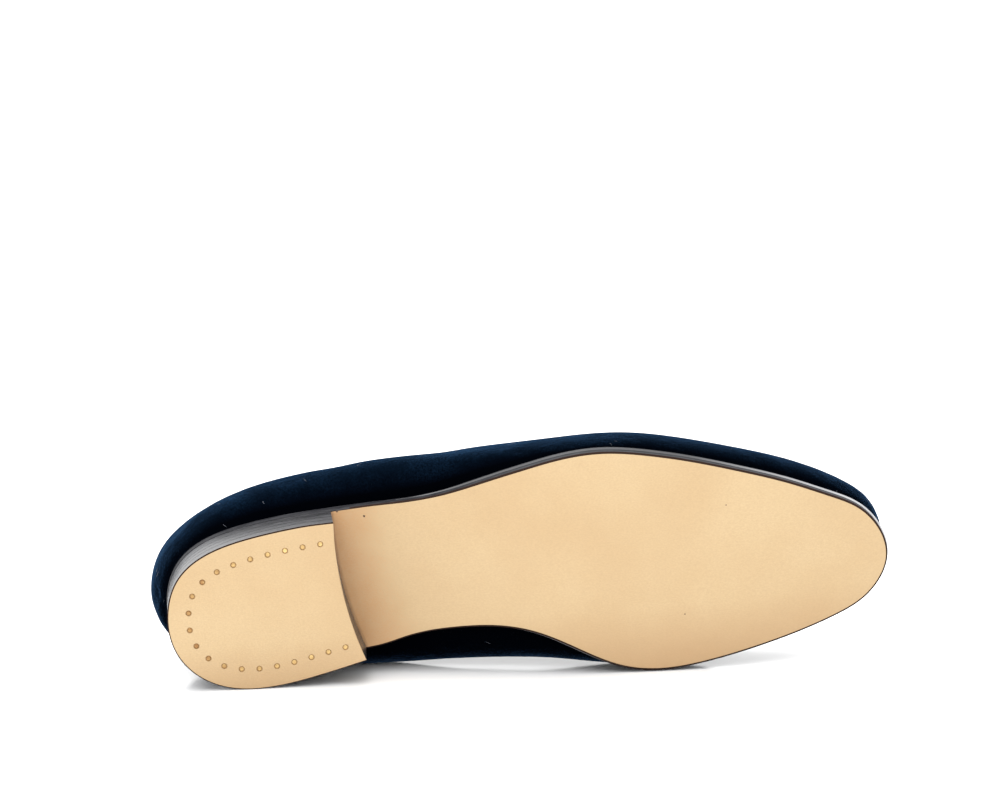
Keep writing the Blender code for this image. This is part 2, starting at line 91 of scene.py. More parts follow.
def shoe_points(points):
    """Millimetres in the shoe's upright frame, from an array of points in the room."""
    return (np.asarray(points) - np.array(SHOE_ORIGIN)) @ np.array(SHOE_AXES) / MM


print("toe points to", [round(v, 3) for v in SHOE_TOE])
print("the shoe's top points to", [round(v, 3) for v in SHOE_UP])

# %% [markdown]
# ## The camera
#
# A product camera stands far away with a long lens, so that near and far parts keep their sizes. It
# looks at the sole almost square on, from a little above and a little towards the heel, and is rolled
# by a few degrees. All of that is said in the shoe's frame, which keeps the view right however the
# shoe rests.

# %% Set up the camera
IMAGE_WIDTH, IMAGE_HEIGHT = 1000, 794
SENSOR_WIDTH = 36.0
CAMERA_REACH = 50.0
CAMERA_DISTANCE = 1.25
CAMERA_TILT = math.radians(12.8)
CAMERA_TURN = math.radians(5.0)
CAMERA_ROLL = math.radians(4.1)
PIXELS_PER_MM = 2.72
AIM_POINT = room_point(132.0, 0.0, 4.0)
AIM_PIXEL = (527.0, 577.5)

focal_pixels = PIXELS_PER_MM / MM * CAMERA_DISTANCE
tilt_rise, tilt_reach = math.sin(CAMERA_TILT), math.cos(CAMERA_TILT)
turn_side, turn_reach = math.sin(CAMERA_TURN), math.cos(CAMERA_TURN)
back = SHOE_AXES @ Vector((-turn_side * tilt_reach, -tilt_rise, -turn_reach * tilt_reach))
level = SHOE_AXES @ Vector((turn_reach, 0.0, -turn_side))
above = back.cross(level)
right = math.cos(CAMERA_ROLL) * level - math.sin(CAMERA_ROLL) * above
up = math.sin(CAMERA_ROLL) * level + math.cos(CAMERA_ROLL) * above
aim_right = (AIM_PIXEL[0] - IMAGE_WIDTH / 2) / focal_pixels * CAMERA_DISTANCE
aim_up = -(AIM_PIXEL[1] - IMAGE_HEIGHT / 2) / focal_pixels * CAMERA_DISTANCE

camera = bpy.data.objects.new("camera", bpy.data.cameras.new("camera"))
bpy.context.scene.collection.objects.link(camera)
bpy.context.scene.camera = camera
camera.data.sensor_width = SENSOR_WIDTH
camera.data.lens = focal_pixels / IMAGE_WIDTH * SENSOR_WIDTH
camera.data.clip_end = CAMERA_REACH
camera.matrix_world = Matrix.Translation(
    AIM_POINT + back * CAMERA_DISTANCE - right * aim_right - up * aim_up
) @ Matrix((right, up, back)).transposed().to_4x4()
print("lens", round(camera.data.lens, 1), "mm")
print("camera", round(math.degrees(math.asin(back.z)), 1), "degrees above the floor")

# %% [markdown]
# ## Floor and light
#
# The shoe lies on a white, slightly glossy table in a white room. A large soft box overhead, a little
# behind the shoe, draws the bright line along the painted edges and the blue bloom on the pile. A
# second one stands above and in front of the shoe and lights the sole. The room itself gives the
# rest. A sky texture or a picture of a studio would also do, but three plain lights are easier to
# reason about.

# %% Make the floor and the lights
FLOOR_SIZE = 30.0
TABLE_WHITE = (0.97, 0.97, 0.97, 1.0)
TABLE_ROUGHNESS = 0.10
TABLE_REFLECTION = 0.9
ROOM_WHITE = (1.0, 1.0, 1.0, 1.0)
ROOM_STRENGTH = 1.68
SOFT_BOXES = [
    # name, place, aim, size in metres, power in watts
    ("overhead soft box", (-0.14, 0.28, 1.23), (0.0, 0.0, 0.04), 1.20, 17.0),
    ("front soft box", (-0.30, -0.80, 1.15), (0.0, 0.0, 0.03), 1.00, 9.5),
]


def area_light(name, place, aim, size, power):
    """Square soft box at a place, turned to a point."""
    data = bpy.data.lights.new(name, "AREA")
    data.size = size
    data.energy = power
    made = bpy.data.objects.new(name, data)
    bpy.context.scene.collection.objects.link(made)
    made.location = place
    made.rotation_euler = (Vector(aim) - Vector(place)).to_track_quat("-Z", "Y").to_euler()


floor_mesh = bmesh.new()
bmesh.ops.create_grid(floor_mesh, x_segments=1, y_segments=1, size=FLOOR_SIZE / 2)
floor_data = bpy.data.meshes.new("floor")
floor_mesh.to_mesh(floor_data)
floor_mesh.free()
floor = bpy.data.objects.new("floor", floor_data)
bpy.context.scene.collection.objects.link(floor)
table_white = bpy.data.materials.new("table white")
table_white.use_nodes = True
table_shader = table_white.node_tree.nodes["Principled BSDF"]
table_shader.inputs["Base Color"].default_value = TABLE_WHITE
table_shader.inputs["Roughness"].default_value = TABLE_ROUGHNESS
table_shader.inputs["Specular IOR Level"].default_value = TABLE_REFLECTION
floor_data.materials.append(table_white)

for soft_box in SOFT_BOXES:
    area_light(*soft_box)

room = bpy.data.worlds.new("white room")
bpy.context.scene.world = room
room.use_nodes = True
room.node_tree.nodes["Background"].inputs["Color"].default_value = ROOM_WHITE
room.node_tree.nodes["Background"].inputs["Strength"].default_value = ROOM_STRENGTH
bpy.context.scene.view_settings.view_transform = "Standard"

# %% [markdown]
# ## Helpers for materials
#
# Every finish here is a Principled shader with a few textures in front of it. Short helpers add a
# node with its settings and give back the socket that the next step needs. One of them gives texture
# coordinates in the shoe's own frame, in metres. Because every finished piece sits at the origin,
# Object coordinates are the room's, and one Mapping node turns them into the shoe's.

# %% Define the material helpers
MIX_SHARE, MIX_FIRST, MIX_SECOND, MIX_RESULT = 0, 6, 7, 2  # the Mix node's sockets for colours


def new_finish(name, colour, roughness, **values):
    """Material with a Principled shader, its plain values set on the shader's own sockets."""
    made = bpy.data.materials.new(name)
    made.use_nodes = True
    shader = made.node_tree.nodes["Principled BSDF"]
    shader.inputs["Base Color"].default_value = (*colour, 1.0)
    shader.inputs["Roughness"].default_value = roughness
    for socket, value in values.items():
        shader.inputs[socket.replace("_", " ")].default_value = value
    made.diffuse_color = (*colour, 1.0)
    return made, made.node_tree, shader


def add_node(tree, kind, links=None, **settings):
    """Node of a kind, with its properties and plain inputs set and its inputs linked."""
    node = tree.nodes.new(kind)
    for name, value in settings.items():
        if hasattr(node, name):
            setattr(node, name, value)
        else:
            node.inputs[name.replace("_", " ")].default_value = value
    for name, source in (links or {}).items():
        tree.links.new(source, node.inputs[name])
    return node


def shoe_coordinates(tree):
    """Socket with a point's place in the shoe's upright frame, in metres."""
    place = add_node(tree, "ShaderNodeTexCoord")
    to_shoe = SHOE_AXES.transposed()
    turned = add_node(
        tree, "ShaderNodeMapping", {"Vector": place.outputs["Object"]},
        Rotation=to_shoe.to_euler(), Location=-(to_shoe @ SHOE_ORIGIN),
    )
    return turned.outputs["Vector"]


def coordinate(tree, place, axis):
    """Socket with one coordinate: X along the shoe, Y to its inner side, Z up."""
    return add_node(tree, "ShaderNodeSeparateXYZ", {0: place}).outputs[axis]


def stretched(tree, place, scale):
    """Socket with coordinates scaled by a different amount along each axis of the shoe."""
    return add_node(tree, "ShaderNodeMapping", {"Vector": place}, Scale=scale).outputs["Vector"]


def attribute(tree, name):
    """Socket with a number that each vertex carries."""
    return add_node(tree, "ShaderNodeAttribute", attribute_name=name).outputs["Fac"]


def noise(tree, place, scale, detail, roughness):
    """Socket with noise between 0 and 1, its scale in waves per unit of the place."""
    node = add_node(
        tree, "ShaderNodeTexNoise", {"Vector": place}, Scale=scale, Detail=detail, Roughness=roughness
    )
    return node.outputs["Fac"]


def ranged(tree, value, low, high, to_low=0.0, to_high=1.0):
    """Socket with a value brought from one range to another, and held at its ends."""
    node = add_node(
        tree, "ShaderNodeMapRange", {"Value": value},
        From_Min=low, From_Max=high, To_Min=to_low, To_Max=to_high,
    )
    return node.outputs["Result"]


def arithmetic(tree, operation, *values, clamp=False):
    """Socket with the result of a Math node, whose inputs are numbers or sockets."""
    node = add_node(tree, "ShaderNodeMath", operation=operation, use_clamp=clamp)
    for socket, value in zip(node.inputs, values):
        if isinstance(value, float):
            socket.default_value = value
        else:
            tree.links.new(value, socket)
    return node.outputs[0]


def mixed(tree, share, first, second):
    """Socket with a colour between two, each a colour or a socket."""
    node = tree.nodes.new("ShaderNodeMix")
    node.data_type = "RGBA"
    tree.links.new(share, node.inputs[MIX_SHARE])
    for socket, colour in ((node.inputs[MIX_FIRST], first), (node.inputs[MIX_SECOND], second)):
        if isinstance(colour, tuple):
            socket.default_value = (*colour, 1.0)
        else:
            tree.links.new(colour, socket)
    return node.outputs[MIX_RESULT]


def bumped(tree, shader, height, distance, strength, below=None):
    """Adds relief of a real depth in metres to a shader, on top of earlier relief."""
    node = add_node(tree, "ShaderNodeBump", {"Height": height}, Distance=distance, Strength=strength)
    if below is not None:
        tree.links.new(below, node.inputs["Normal"])
    tree.links.new(node.outputs["Normal"], shader.inputs["Normal"])
    return node.outputs["Normal"]


def shaded(shade, colour):
    """Colour made darker or lighter by a factor."""
    return tuple(shade * c for c in colour)


print("helpers ready")

# %% [markdown]
# ## A smooth copy of a solid
#
# A solid from the frame is a cage of flat triangles. A copy of it is merged, its triangles are joined
# to quads again, its real edges are marked as creases and a subdivision surface rounds the rest.
# Subdivision alone would shrink the form a little. So the cage is first pushed out by the distance
# that it would shrink, until the smooth surface runs through the solid's own corners.

# %% Define the smooth copy
MERGE_DISTANCE = 1e-5
JOIN_ANGLE = math.radians(40.0)
FIT_PASSES = 3


def merged_cage(node):
    """Bmesh of a solid's copy, merged and made of quads again."""
    mesh = bmesh.new()
    mesh.from_mesh(frame["nodes"][node].data)
    bmesh.ops.remove_doubles(mesh, verts=mesh.verts, dist=MERGE_DISTANCE)
    bmesh.ops.join_triangles(
        mesh, faces=mesh.faces, angle_face_threshold=JOIN_ANGLE, angle_shape_threshold=2.0 * JOIN_ANGLE
    )
    return mesh


def mark_creases(mesh, angle, strength, hard):
    """Keeps the real edges: creased for the subdivision, and sharp in the shading where hard."""
    creases = mesh.edges.layers.float.get("crease_edge") or mesh.edges.layers.float.new("crease_edge")
    for edge in mesh.edges:
        if edge.calc_face_angle(0.0) > angle:
            edge[creases] = strength
            edge.smooth = not hard


def new_piece(name, mesh, finishes):
    """Object at the origin from a bmesh, smooth shaded, with its materials, riding with the shoe."""
    for face in mesh.faces:
        face.smooth = True
    data = bpy.data.meshes.new(name)
    for finish in finishes:
        data.materials.append(finish)
    mesh.to_mesh(data)
    mesh.free()
    piece = bpy.data.objects.new(name, data)
    bpy.context.scene.collection.objects.link(piece)
    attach(piece, "root")
    return piece


def vertex_places(data):
    """Array of the places of a mesh's vertices."""
    return np.array([vertex.co for vertex in data.vertices])


def smoothed(piece, levels):
    """Applies a subdivision surface that runs through the corners of the piece's own mesh."""
    smooth = piece.modifiers.new("smooth", "SUBSURF")
    smooth.levels = levels
    smooth.render_levels = levels
    wanted = vertex_places(piece.data)
    for _ in range(FIT_PASSES):
        seen = piece.evaluated_get(bpy.context.evaluated_depsgraph_get())
        found = vertex_places(seen.to_mesh())[: len(wanted)]
        seen.to_mesh_clear()
        placed = vertex_places(piece.data) + wanted - found
        piece.data.vertices.foreach_set("co", placed.ravel())
        piece.data.update()
    seen = piece.evaluated_get(bpy.context.evaluated_depsgraph_get())
    finished = bpy.data.meshes.new_from_object(seen)
    piece.modifiers.clear()
    piece.data = finished
    off = np.linalg.norm(vertex_places(finished)[: len(wanted)] - wanted, axis=1)
    print(piece.name, "faces", len(finished.polygons), "off its corners, mm:", round(off.max() / MM, 3))
    return piece


print("smooth copy ready")

# %% [markdown]
# ## Sole leather
#
# The sole is oak-bark tanned cowhide, finished natural: a warm tan with a dry gloss, fine pores, a
# hardly visible cloudiness and the odd speck. It darkens round the breast of the heel, where glue and
# the burnishing iron were at work; part of that darker brown is painted shade, where the breast of the
# heel shades the waist. Towards the inner side, where the sole turns to the table, the colour is made a
# little darker as painted shade. The colour is mixed from slow and fast noise, and the pores are a
# Voronoi pattern in the relief. The burnish and its painted shade follow the measured distance to the
# heel, made uneven by noise. A painted picture could do the same but would not stay sharp from near.

# %% Make the sole leather
TAN = (0.440, 0.318, 0.172)
TAN_DEEP = (0.407, 0.280, 0.143)
TAN_BURNISH_AND_SHADE = (0.370, 0.185, 0.068)
TAN_INNER_SHADE = (0.335, 0.205, 0.098)
SPECK_BROWN = (0.30, 0.16, 0.07)
INK = (0.085, 0.036, 0.018)
NEAR_HEEL = "distance_to_heel"
NEAR_SOLE = "distance_to_sole"
LEATHER_ROUGHNESS = 0.46
LEATHER_WAX = {"Specular_IOR_Level": 0.45, "Coat_Weight": 0.12, "Coat_Roughness": 0.35}

# Noises are scale, detail and roughness; ranges are the part of a value that is used; reliefs are
# depth in metres and strength.
CLOUD_NOISE, CLOUD_RANGE = (22.0, 4.0, 0.5), (0.36, 0.66)
GRAIN_NOISE, GRAIN_RANGE = (1900.0, 3.0, 0.6), (0.35, 0.65)
GRAIN_STRETCH, GRAIN_SHARE, GRAIN_SHADE = (0.6, 1.0, 1.0), 0.34, 0.80
SPECK_SCALE, SPECK_EDGE, SPECK_CHANCE = 62.0, (0.007, 0.013), (0.70, 0.72)
INNER_SHADE_RANGE, INNER_SHADE_SHARE = (0.014, 0.041), 0.9
WAIST_RANGE, WAIST_SHARE = (0.007, 0.028), 0.85
WAIST_NOISE, WAIST_RAGGED, WAIST_SPECKLED = (160.0, 3.0, 0.5), 0.010, 0.007
INK_RANGE, INK_SHARE = (0.0003, 0.0013), 0.55
GLOSS_NOISE, GLOSS_RANGE, GLOSSIER, DULLER = (60.0, 3.0, 0.5), (0.3, 0.7), 0.06, 0.08
PORE_SCALE, PORE_RELIEF, GRAIN_RELIEF = 1300.0, (0.00004, 0.35), (0.00003, 0.6)


def leather_finish(name, light, deep, roughness, burnish_and_shade=None):
    """Smooth vegetable-tanned leather, painted a little darker towards the inner side as shade;
    burnished near the heel, with painted shade there, where a colour for it is given.
    """
    made, tree, shader = new_finish(name, light, roughness, **LEATHER_WAX)
    place = shoe_coordinates(tree)
    clouds = ranged(tree, noise(tree, place, *CLOUD_NOISE), *CLOUD_RANGE)
    grain = noise(tree, stretched(tree, place, GRAIN_STRETCH), *GRAIN_NOISE)
    grain = ranged(tree, grain, *GRAIN_RANGE)
    colour = mixed(tree, clouds, light, deep)
    grain_share = arithmetic(tree, "MULTIPLY", grain, GRAIN_SHARE)
    colour = mixed(tree, grain_share, colour, shaded(GRAIN_SHADE, deep))

    specks = add_node(tree, "ShaderNodeTexVoronoi", {"Vector": place}, Scale=SPECK_SCALE)
    dot = ranged(tree, specks.outputs["Distance"], *SPECK_EDGE, 1.0, 0.0)
    chance = add_node(tree, "ShaderNodeSeparateColor", {0: specks.outputs["Color"]})
    rare = ranged(tree, chance.outputs[0], *SPECK_CHANCE)
    colour = mixed(tree, arithmetic(tree, "MULTIPLY", dot, rare), colour, SPECK_BROWN)
    # Painted shade: the leather is made darker towards the inner side, where the sole turns to the
    # table.
    inner = ranged(tree, coordinate(tree, place, "Y"), *INNER_SHADE_RANGE, 0.0, INNER_SHADE_SHARE)
    colour = mixed(tree, inner, colour, TAN_INNER_SHADE)

    if burnish_and_shade is not None:
        # Burnish near the heel's breast, partly painted shade where the breast shades the waist.
        reach = attribute(tree, NEAR_HEEL)
        slow = noise(tree, place, *WAIST_NOISE)
        ragged = arithmetic(tree, "MULTIPLY_ADD", slow, WAIST_RAGGED, reach)
        speckled = arithmetic(tree, "MULTIPLY_ADD", grain, WAIST_SPECKLED, ragged)
        colour = mixed(tree, ranged(tree, speckled, *WAIST_RANGE, WAIST_SHARE, 0.0), colour, burnish_and_shade)
        colour = mixed(tree, ranged(tree, reach, *INK_RANGE, INK_SHARE, 0.0), colour, INK)
    tree.links.new(colour, shader.inputs["Base Color"])

    gloss = noise(tree, place, *GLOSS_NOISE)
    gloss = ranged(tree, gloss, *GLOSS_RANGE, roughness - GLOSSIER, roughness + DULLER)
    tree.links.new(gloss, shader.inputs["Roughness"])
    pores = add_node(
        tree, "ShaderNodeTexVoronoi", {"Vector": place}, feature="DISTANCE_TO_EDGE", Scale=PORE_SCALE
    )
    relief = bumped(tree, shader, pores.outputs["Distance"], *PORE_RELIEF)
    bumped(tree, shader, grain, *GRAIN_RELIEF, relief)
    return made


sole_leather = leather_finish("sole leather", TAN, TAN_DEEP, LEATHER_ROUGHNESS, TAN_BURNISH_AND_SHADE)
top_piece_leather = leather_finish("top piece leather", TAN, TAN_DEEP, LEATHER_ROUGHNESS)
print("sole leather has", len(sole_leather.node_tree.nodes), "nodes")

# %% [markdown]
# ## Painted edges
#
# The edges of sole and heel are sanded, painted black and rubbed with hot wax. Paint fills most of
# the grain, but the layers of leather still show as fine level lines, and the iron leaves long
# shallow streaks. The relief is therefore noise that is stretched along the shoe and tight in height.
# The heel takes more polish than the sole. The lower face of the rim is a little greyer, and its paint
# is made pale towards the toe as a painted highlight. The bevel is inked brown black and stays dull,
# and the leather in the pins' holes is bare and brown.

# %% Make the edge paint
PAINT_BLACK = (0.010, 0.010, 0.012)
PAINT_GREY = (0.036, 0.036, 0.040)
BEVEL_INK = (0.020, 0.010, 0.007)
RIM_GREY = (0.060, 0.060, 0.063)
RIM_PAINTED_HIGHLIGHT = (0.42, 0.42, 0.43)
RIM_HIGHLIGHT_RANGE = (0.195, 0.255)
HOLE_BROWN = (0.30, 0.185, 0.085)
WAX_ROUGHNESS = 0.18
LAYER_STRETCH, LAYER_NOISE, LAYER_RELIEF = (30.0, 30.0, 1400.0), (1.0, 3.0, 0.6), (0.00012, 0.5)
SCUFF_STRETCH, SCUFF_NOISE, SCUFF_RELIEF = (160.0, 160.0, 700.0), (1.0, 5.0, 0.65), (0.00004, 0.5)
SCUFF_RANGE, SCUFF_GLOSS_RANGE, SCUFF_GLOSSIER, SCUFF_DULLER = (0.45, 0.75), (0.3, 0.7), 0.05, 0.12


def paint_finish(name, roughness, specular, coat):
    """Waxed edge paint over layered leather."""
    made, tree, shader = new_finish(
        name, PAINT_BLACK, roughness,
        Specular_IOR_Level=specular, Coat_Weight=coat, Coat_Roughness=WAX_ROUGHNESS,
    )
    place = shoe_coordinates(tree)
    layers = noise(tree, stretched(tree, place, LAYER_STRETCH), *LAYER_NOISE)
    scuffs = noise(tree, stretched(tree, place, SCUFF_STRETCH), *SCUFF_NOISE)
    colour = mixed(tree, ranged(tree, scuffs, *SCUFF_RANGE), PAINT_BLACK, PAINT_GREY)
    tree.links.new(colour, shader.inputs["Base Color"])
    gloss = (roughness - SCUFF_GLOSSIER, roughness + SCUFF_DULLER)
    tree.links.new(ranged(tree, scuffs, *SCUFF_GLOSS_RANGE, *gloss), shader.inputs["Roughness"])
    relief = bumped(tree, shader, layers, *LAYER_RELIEF)
    bumped(tree, shader, scuffs, *SCUFF_RELIEF, relief)
    return made


edge_paint = paint_finish("edge paint", roughness=0.30, specular=0.6, coat=0.35)
sole_edge_paint = paint_finish("sole edge paint", roughness=0.45, specular=0.10, coat=0.02)
rim_paint, rim_tree, rim_shader = new_finish(
    "rim paint", RIM_GREY, roughness=0.35, Specular_IOR_Level=0.6
)
# Painted highlight: the rim's paint is made pale towards the toe.
rim_highlight = ranged(rim_tree, coordinate(rim_tree, shoe_coordinates(rim_tree), "X"), *RIM_HIGHLIGHT_RANGE)
rim_tree.links.new(mixed(rim_tree, rim_highlight, RIM_GREY, RIM_PAINTED_HIGHLIGHT), rim_shader.inputs["Base Color"])
bevel_ink, _, _ = new_finish("bevel ink", BEVEL_INK, roughness=0.75, Specular_IOR_Level=0.06)
hole_brown, _, _ = new_finish("hole brown", HOLE_BROWN, roughness=0.80, Specular_IOR_Level=0.1)
print("edge paint ready")

# %% [markdown]
# ## The outsole
#
# One cut of leather 4.5 mm thick. Its walking face is bare tan leather. The narrow bevel round it is
# inked, and the ink runs a little onto the bare face, which draws the thin dark line round the sole.
# The side and the rim are painted. The finishes meet exactly at the solid's own edges: a face is
# sorted by the way it points in the shoe's frame and by the faces next to it. Over the heel the bevel
# is painted together with the heel's side. The finished copy also learns its distance to the heel,
# which the leather's burnish and its painted shade follow.

# %% Define the leather layers
WALKING_FACE = 0
PAINTED = 1
BEVELLED = 2
PIN_HOLE = 3
RIM = 4
FLAT_ENOUGH = 0.955
BEVEL_FACING = 0.35
PIN_HOLE_FACET = 3.5e-6
INK_BLEED = 0.25 * MM
HEEL_END = 66.0
SOLE_CREASE_ANGLE = math.radians(24.0)
FULL_CREASE = 1.0


def facing_down(face):
    """How far a face looks to the ground under a standing shoe, from -1 to 1."""
    return -face.normal.dot(SHOE_UP)


def sort_faces(mesh):
    """Bare leather on flat faces, ink on the bevel beside them, paint on the rim and elsewhere."""
    for face in mesh.faces:
        face.material_index = WALKING_FACE if facing_down(face) > FLAT_ENOUGH else PAINTED
    for face in mesh.faces:
        if face.material_index == PAINTED and facing_down(face) > BEVEL_FACING:
            beside = [other for edge in face.edges for other in edge.link_faces]
            at_bare = any(other.material_index == WALKING_FACE for other in beside)
            face.material_index = BEVELLED if at_bare else RIM


def sort_pin_holes(mesh):
    """Gives the small holes for the pins the bare leather's colour, not the paint."""
    for face in mesh.faces:
        if face.material_index == PAINTED and face.calc_area() < PIN_HOLE_FACET:
            face.material_index = PIN_HOLE


def bleed_ink(mesh, width):
    """Lets the ink of the bevel run a little onto the bare face."""
    bare = [face for face in mesh.faces if face.material_index == WALKING_FACE]
    edge = bmesh.ops.inset_region(mesh, faces=bare, thickness=width, use_even_offset=True)
    for face in edge["faces"]:
        face.material_index = BEVELLED


def paint_above_heel(mesh):
    """Paints the bevel over the heel together with the heel's side."""
    for face in mesh.faces:
        along_shoe = shoe_points([face.calc_center_median()])[0][0]
        if face.material_index == BEVELLED and along_shoe < HEEL_END:
            face.material_index = PAINTED


def leather_layer(node, face_finish, paint, levels=2, ink_width=0.0):
    """Finished copy of a leather layer: bare on its flat faces, painted on its edges."""
    mesh = merged_cage(node)
    mark_creases(mesh, SOLE_CREASE_ANGLE, FULL_CREASE, True)
    sort_faces(mesh)
    if node == "heel_top_piece":
        sort_pin_holes(mesh)
    if ink_width:
        bleed_ink(mesh, ink_width)
        paint_above_heel(mesh)
    finishes = (face_finish, paint, bevel_ink, hole_brown, rim_paint)
    piece = smoothed(new_piece(node + "_leather", mesh, finishes), levels)
    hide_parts(node)
    return piece


def surface_tree(piece):
    """Search tree of a piece's faces."""
    data = piece.data
    return BVHTree.FromPolygons([v.co for v in data.vertices], [p.vertices for p in data.polygons])


def measure_distance(piece, name, other):
    """Writes each vertex's distance to another piece into an attribute, in metres."""
    tree = surface_tree(other)
    made = piece.data.attributes.new(name, "FLOAT", "POINT")
    made.data.foreach_set("value", [tree.find_nearest(vertex.co)[3] for vertex in piece.data.vertices])


print("leather layers ready")

# %% Dress the outsole
outsole = leather_layer(
    "outsole", sole_leather, sole_edge_paint, levels=3, ink_width=INK_BLEED
)
# The burnish and its painted shade near the heel follow this distance.
measure_distance(outsole, NEAR_HEEL, frame["nodes"]["heel_lift_3"])

# %% [markdown]
# ## The heel
#
# Three lifts of painted leather and a bare top piece, each cut to the same D shape. They keep the
# hairline gaps between them, which are the fine lines round the heel. One block with lines drawn on
# it would show no gap where the light grazes.

# %% Dress the heel
leather_layer("heel_top_piece", top_piece_leather, edge_paint)
for number in (1, 2, 3):
    leather_layer("heel_lift_%d" % number, edge_paint, edge_paint)

# %% [markdown]
# ## Brass pins
#
# Each pin is driven in and filed flush. The file leaves a slightly domed head with fine scratches,
# and the blow throws up a small burr of brown leather round it. A head is turned: its half profile is
# spun round the pin's own axis, and the burr is a ring that is spun in the same way. Every head tips
# its own way by a degree or two, so some catch the light and some don't. The brass is darker towards
# the back of the heel.

# %% Make the brass
BRASS = (0.56, 0.40, 0.175)
BRASS_DARK = (0.25, 0.130, 0.052)
TARNISH_NOISE, TARNISH_RANGE, TARNISH_SHARE = (420.0, 4.0, 0.6), (0.40, 0.70), 0.6
BACK_RANGE, BACK_SHARE = (0.045, 0.010), 0.65
SCRATCH_STRETCH, SCRATCH_NOISE, SCRATCH_RELIEF = (900.0, 9000.0, 900.0), (1.0, 2.0, 0.5), (0.00002, 0.5)

brass, brass_tree, brass_shader = new_finish("brass", BRASS, roughness=0.42, Metallic=1.0)
brass_place = shoe_coordinates(brass_tree)
tarnish = noise(brass_tree, brass_place, *TARNISH_NOISE)
tarnish = ranged(brass_tree, tarnish, *TARNISH_RANGE, 0.0, TARNISH_SHARE)
along_shoe = coordinate(brass_tree, brass_place, "X")
towards_back = ranged(brass_tree, along_shoe, *BACK_RANGE, 0.0, BACK_SHARE)
darkened = arithmetic(brass_tree, "ADD", tarnish, towards_back, clamp=True)
brass_tree.links.new(mixed(brass_tree, darkened, BRASS, BRASS_DARK), brass_shader.inputs["Base Color"])
scratches = noise(brass_tree, stretched(brass_tree, brass_place, SCRATCH_STRETCH), *SCRATCH_NOISE)
bumped(brass_tree, brass_shader, scratches, *SCRATCH_RELIEF)
print("brass ready")

# %% Turn the pins and their burrs
# Lengths are in millimetres. The dome's height is a share of the head's radius.
HEAD_STEPS = 5
HEAD_DOME = 0.22
HEAD_ROUNDNESS = 0.7
SPIN_STEPS = 20
SPIN_MERGE = 1e-4
TIP_MOST = math.radians(5.0)
BURR_CLEARANCE = 0.03
BURR_REACH = 0.27
BURR_INNER_TOP = 0.10
BURR_OUTER_TOP = 0.04
BURR_DEPTH = 0.5
HAND_SEED = 7


def spun(profile, closed):
    """Bmesh of a half profile in millimetres, turned round its axis."""
    mesh = bmesh.new()
    points = [mesh.verts.new((r, 0.0, z)) for r, z in profile]
    following = points[1:] + points[:1] if closed else points[1:]
    edges = [mesh.edges.new(pair) for pair in zip(points, following)]
    bmesh.ops.spin(
        mesh, geom=points + edges, cent=(0.0, 0.0, 0.0), axis=(0.0, 0.0, 1.0), angle=2.0 * math.pi,
        steps=SPIN_STEPS, use_merge=True,
    )
    bmesh.ops.remove_doubles(mesh, verts=mesh.verts, dist=SPIN_MERGE)
    bmesh.ops.recalc_face_normals(mesh, faces=mesh.faces)
    return mesh


def pin_profile(radius, length):
    """Half profile of a pin: a domed head at zero and a plain shaft."""
    profile = [(0.0, 0.0)]
    for step in range(1, HEAD_STEPS + 1):
        turn = 0.5 * math.pi * step / HEAD_STEPS
        out = radius * math.sin(turn) ** HEAD_ROUNDNESS
        profile.append((out, HEAD_DOME * radius * (1.0 - math.cos(turn))))
    return profile + [(radius, length), (0.0, length)]


def burr_profile(radius):
    """Profile of the ring of leather round a pin, its top just inside the bare face."""
    inner, outer = radius + BURR_CLEARANCE, radius + BURR_REACH
    return [(inner, BURR_INNER_TOP), (outer, BURR_OUTER_TOP), (outer, BURR_DEPTH), (inner, BURR_DEPTH)]


def pin_piece(node, tip_angle, tip_way, burrs):
    """Turned pin in the place of its solid, and a burr of leather round it."""
    corners = shoe_points(vertex_places(frame["nodes"][node].data))
    centre = 0.5 * (corners.min(axis=0) + corners.max(axis=0))
    radius = 0.5 * (corners[:, 0].max() - corners[:, 0].min())
    foot, top = corners[:, 2].min(), corners[:, 2].max()
    place = Matrix.Translation(room_point(centre[0], centre[1], foot))
    place = place @ SHOE_AXES.to_4x4() @ Matrix.Scale(MM, 4)
    tip_axis = Vector((math.cos(tip_way), math.sin(tip_way), 0.0))
    mesh = spun(pin_profile(radius, top - foot), closed=False)
    mesh.transform(place @ Matrix.Rotation(tip_angle, 4, tip_axis))
    burr = spun(burr_profile(radius), closed=True)
    burr.transform(place)
    ring = bpy.data.meshes.new("burr")
    burr.to_mesh(ring)
    burr.free()
    burrs.from_mesh(ring)
    made = new_piece(node + "_brass", mesh, (brass,))
    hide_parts(node)


hand = np.random.default_rng(HAND_SEED)
pin_nodes = sorted(node for node in frame["nodes"] if node.startswith("heel_pin_"))
burr_mesh = bmesh.new()
for node in pin_nodes:
    pin_piece(node, TIP_MOST * hand.uniform(0.0, 1.0), hand.uniform(0.0, 2.0 * math.pi), burr_mesh)
pin_burrs = new_piece("pin_burrs", burr_mesh, (hole_brown,))
print("pins:", len(pin_nodes))

# %% [markdown]
# ## Velvet
#
# Cotton velvet is a cloth of short upright threads. Looked at from the front they swallow the light,
# and at a slant their sides shine. The shader's sheen does just that, so the cloth itself can be
# nearly black. Where a hand or the last pressed the pile it leans another way, which shows as soft
# lighter and darker clouds. On the inner side and close to the sole the colour is made darker: this is
# painted shade, for the light that falls less there. The first follows the shoe's own y, the second the
# measured distance to the outsole.

